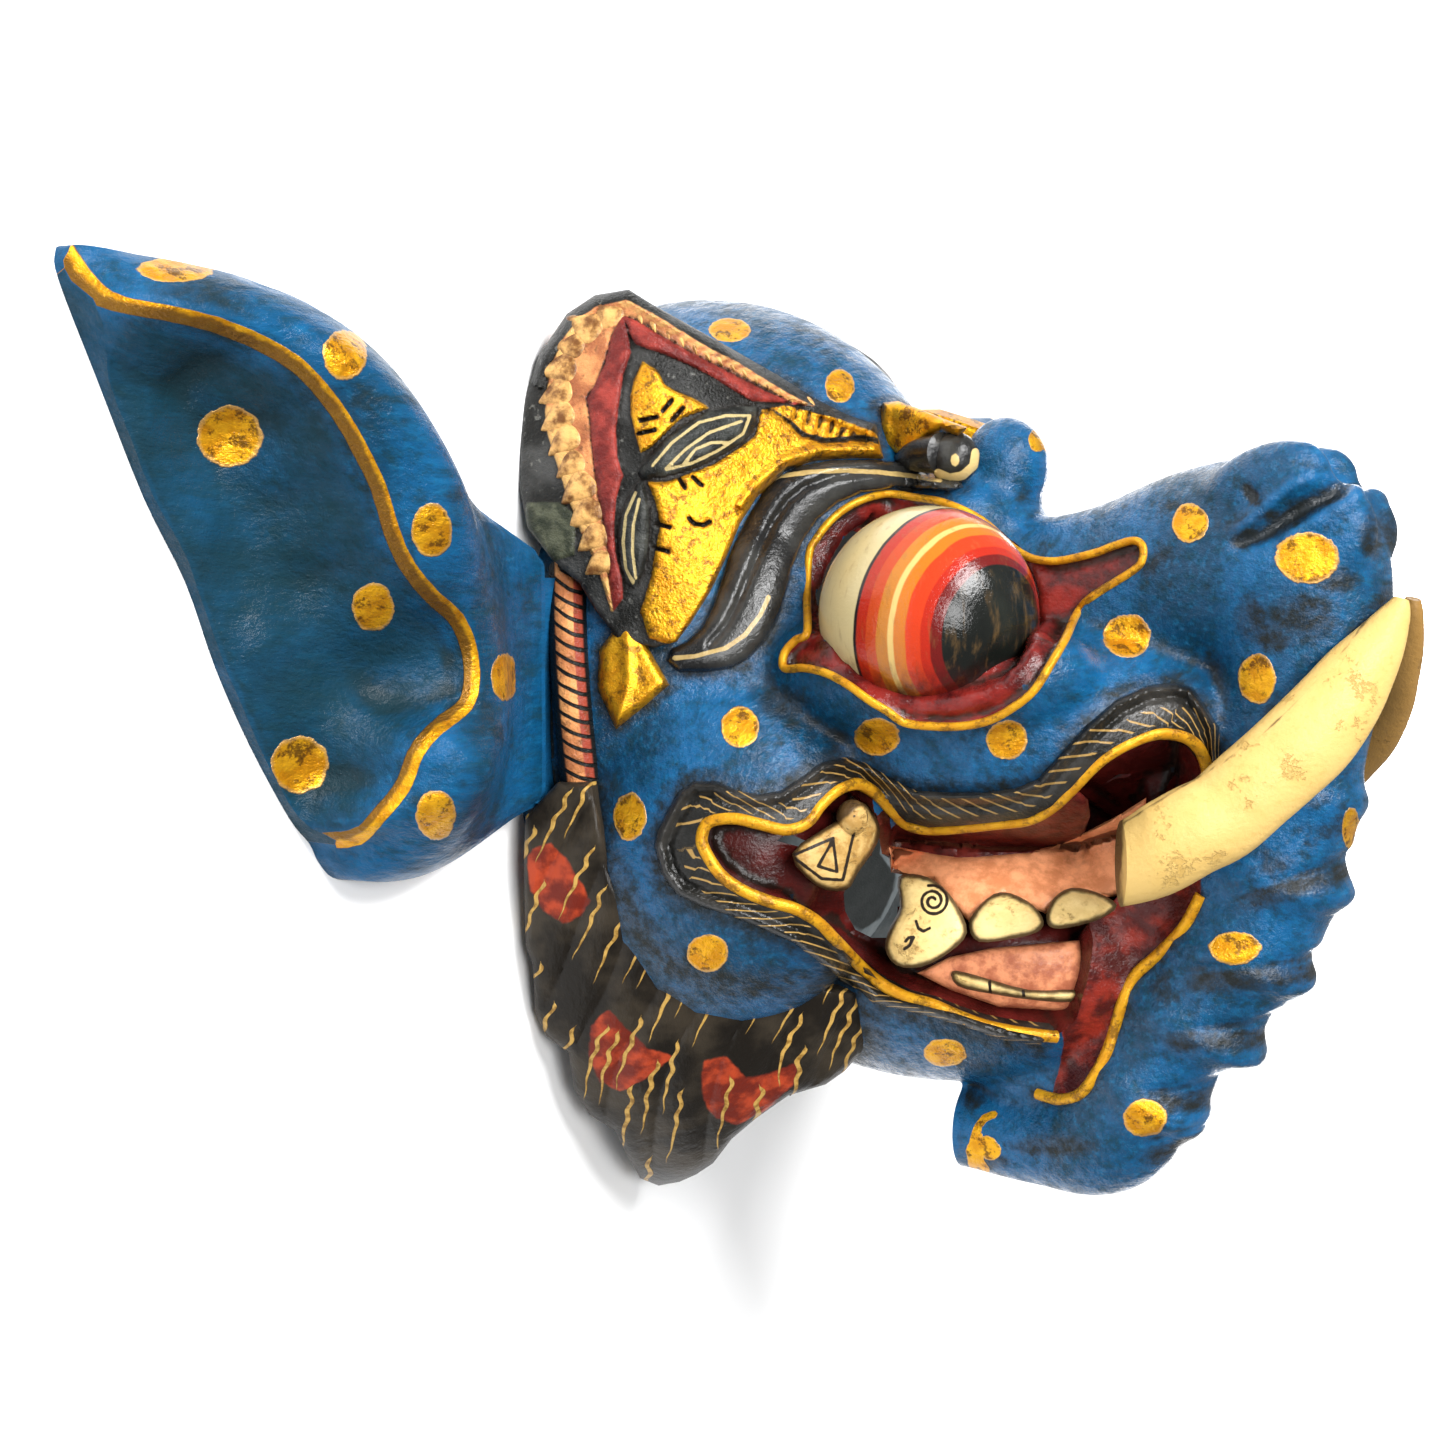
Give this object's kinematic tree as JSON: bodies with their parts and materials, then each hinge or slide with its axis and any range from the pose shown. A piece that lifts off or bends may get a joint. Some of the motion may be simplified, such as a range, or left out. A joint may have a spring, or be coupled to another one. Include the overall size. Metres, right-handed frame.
{
  "type": "mask",
  "caption": "Carved and painted wooden elephant-head face mask with two side ears, tusks, bared teeth and a hanging trunk; hollow behind for the wearer's face.",
  "frame": {"origin": "middle of the mask's outline seen from the front, in the plane of its back rim", "axes": "+Z out of the face (the mask lies on its open back), +Y towards the crown, +X towards the mask's own left ear"},
  "size_m": [0.4822, 0.229, 0.1952],
  "materials": {
    "head": "blue oil paint under gloss varnish, with gold, ivory, black and red painted details",
    "ear_right": "blue oil paint under satin varnish, gold line and spots",
    "ear_left": "blue oil paint under satin varnish, gold line and spots"
  },
  "bodies": {
    "root": {"head": "head", "ear_right": "ear_right", "ear_left": "ear_left"}
  },
  "joints": []
}
